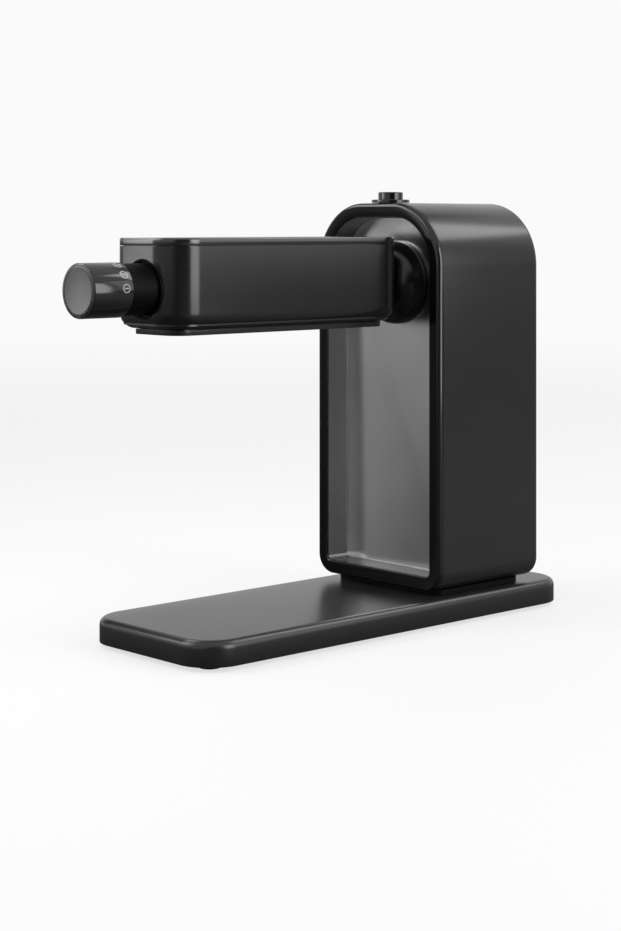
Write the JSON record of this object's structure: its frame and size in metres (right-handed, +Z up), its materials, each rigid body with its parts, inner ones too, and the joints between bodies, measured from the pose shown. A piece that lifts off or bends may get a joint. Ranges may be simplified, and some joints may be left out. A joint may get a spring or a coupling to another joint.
{
  "type": "electric pasta maker",
  "caption": "Free-standing electric pasta cutter: a motor tower on a weighted base holds out a cutter head with twin rollers, a feed slot, an outlet and a setting knob.",
  "frame": {"origin": "on the surface it stands on, midway between the knob's face and the base's far end, on the machine's middle line", "axes": "+X from the knob along the head to the tower's back, +Y across the machine, away from its pictured side, +Z up"},
  "size_m": [0.375, 0.1194, 0.2857],
  "materials": {
    "satin_black": "satin moulded plastic, fine even sheen",
    "gloss_black": "polished moulded plastic",
    "base_black": "satin moulded plastic",
    "foot_rubber": "matte soft rubber",
    "dark_metal": "dark satin metal, spun",
    "steel": "ground steel",
    "nylon": "natural engineering plastic",
    "bearing_bronze": "sintered bronze",
    "circuit_board": "solder-masked laminate"
  },
  "bodies": {
    "root": {"tower_shell": "satin_black", "front_frame": "satin_black", "tower_plinth": "satin_black", "head_casing": "satin_black", "sole_plate": "satin_black", "button_bezel": "gloss_black", "head_lid": "gloss_black", "head_collar": "gloss_black", "dial_cup": "gloss_black", "power_inlet": "gloss_black", "motor_end_cap": "gloss_black", "capacitor": "gloss_black", "base_cover": "base_black", "foot_1": "foot_rubber", "foot_2": "foot_rubber", "foot_3": "foot_rubber", "foot_4": "foot_rubber", "front_panel": "dark_metal", "socket_ring": "dark_metal", "ballast_plate": "steel", "base_screw_1": "steel", "base_screw_2": "steel", "base_screw_3": "steel", "base_screw_4": "steel", "front_gear_plate": "steel", "back_gear_plate": "steel", "idler_pin": "steel", "motor_can": "steel", "far_end_plate": "steel", "near_end_plate": "steel", "fixed_comb": "nylon", "front_bearing": "bearing_bronze", "back_bearing": "bearing_bronze", "collar_bush": "bearing_bronze", "far_roller_bush": "bearing_bronze", "near_roller_bush": "bearing_bronze", "control_board": "circuit_board", "switch_board": "circuit_board"},
    "motor": {"motor_pinion": "steel", "motor_rotor": "bearing_bronze"},
    "idler": {"idler_gear": "nylon"},
    "drive": {"drive_spindle": "steel", "drive_gear": "nylon", "input_shaft": "steel", "head_pinion": "steel"},
    "fixed_cutter": {"fixed_roller": "steel", "fixed_roller_gear": "nylon", "head_gear": "nylon"},
    "gap_carrier": {"far_slider": "nylon", "near_slider": "nylon", "moving_comb": "nylon"},
    "moving_cutter": {"moving_roller": "steel", "moving_roller_gear": "nylon"},
    "knob": {"setting_knob": "gloss_black", "knob_disc": "dark_metal", "knob_spindle": "steel", "setting_cam": "nylon"},
    "button": {"power_button": "gloss_black"}
  },
  "joints": [
    {"name": "motor_spin", "type": "hinge", "parent": "root", "child": "motor", "pos_m": [0.105, 0, 0.15475], "axis": [1, 0, 0], "continuous": true},
    {"name": "idler_spin", "type": "hinge", "parent": "root", "child": "idler", "pos_m": [0.1, 0, 0.1835], "axis": [1, 0, 0], "continuous": true},
    {"name": "drive_spin", "type": "hinge", "parent": "root", "child": "drive", "pos_m": [0.095, 0, 0.2245], "axis": [1, 0, 0], "continuous": true},
    {"name": "fixed_cutter_spin", "type": "hinge", "parent": "root", "child": "fixed_cutter", "pos_m": [-0.05, -0.0113, 0.23478], "axis": [1, 0, 0], "continuous": true},
    {"name": "gap_slide", "type": "slide", "parent": "root", "child": "gap_carrier", "axis": [0, 1, 0], "range_m": [0, 0.0012]},
    {"name": "moving_cutter_spin", "type": "hinge", "parent": "gap_carrier", "child": "moving_cutter", "pos_m": [-0.05, 0.0113, 0.23478], "axis": [1, 0, 0], "continuous": true},
    {"name": "knob_turn", "type": "hinge", "parent": "root", "child": "knob", "pos_m": [-0.16, 0, 0.2245], "axis": [1, 0, 0], "range_deg": [0, 240]},
    {"name": "button_press", "type": "slide", "parent": "root", "child": "button", "axis": [0, 0, -1], "range_m": [0, 0.0012], "stiffness_N_per_m": 800}
  ],
  "couplings": [
    {"joint": "drive_spin", "follows": "motor_spin", "ratio": 0.10185},
    {"joint": "idler_spin", "follows": "motor_spin", "ratio": -0.27778},
    {"joint": "fixed_cutter_spin", "follows": "motor_spin", "ratio": -0.081481},
    {"joint": "moving_cutter_spin", "follows": "motor_spin", "ratio": 0.081481},
    {"joint": "knob_turn", "follows": "gap_slide", "rad_per_m": 3490.7}
  ]
}
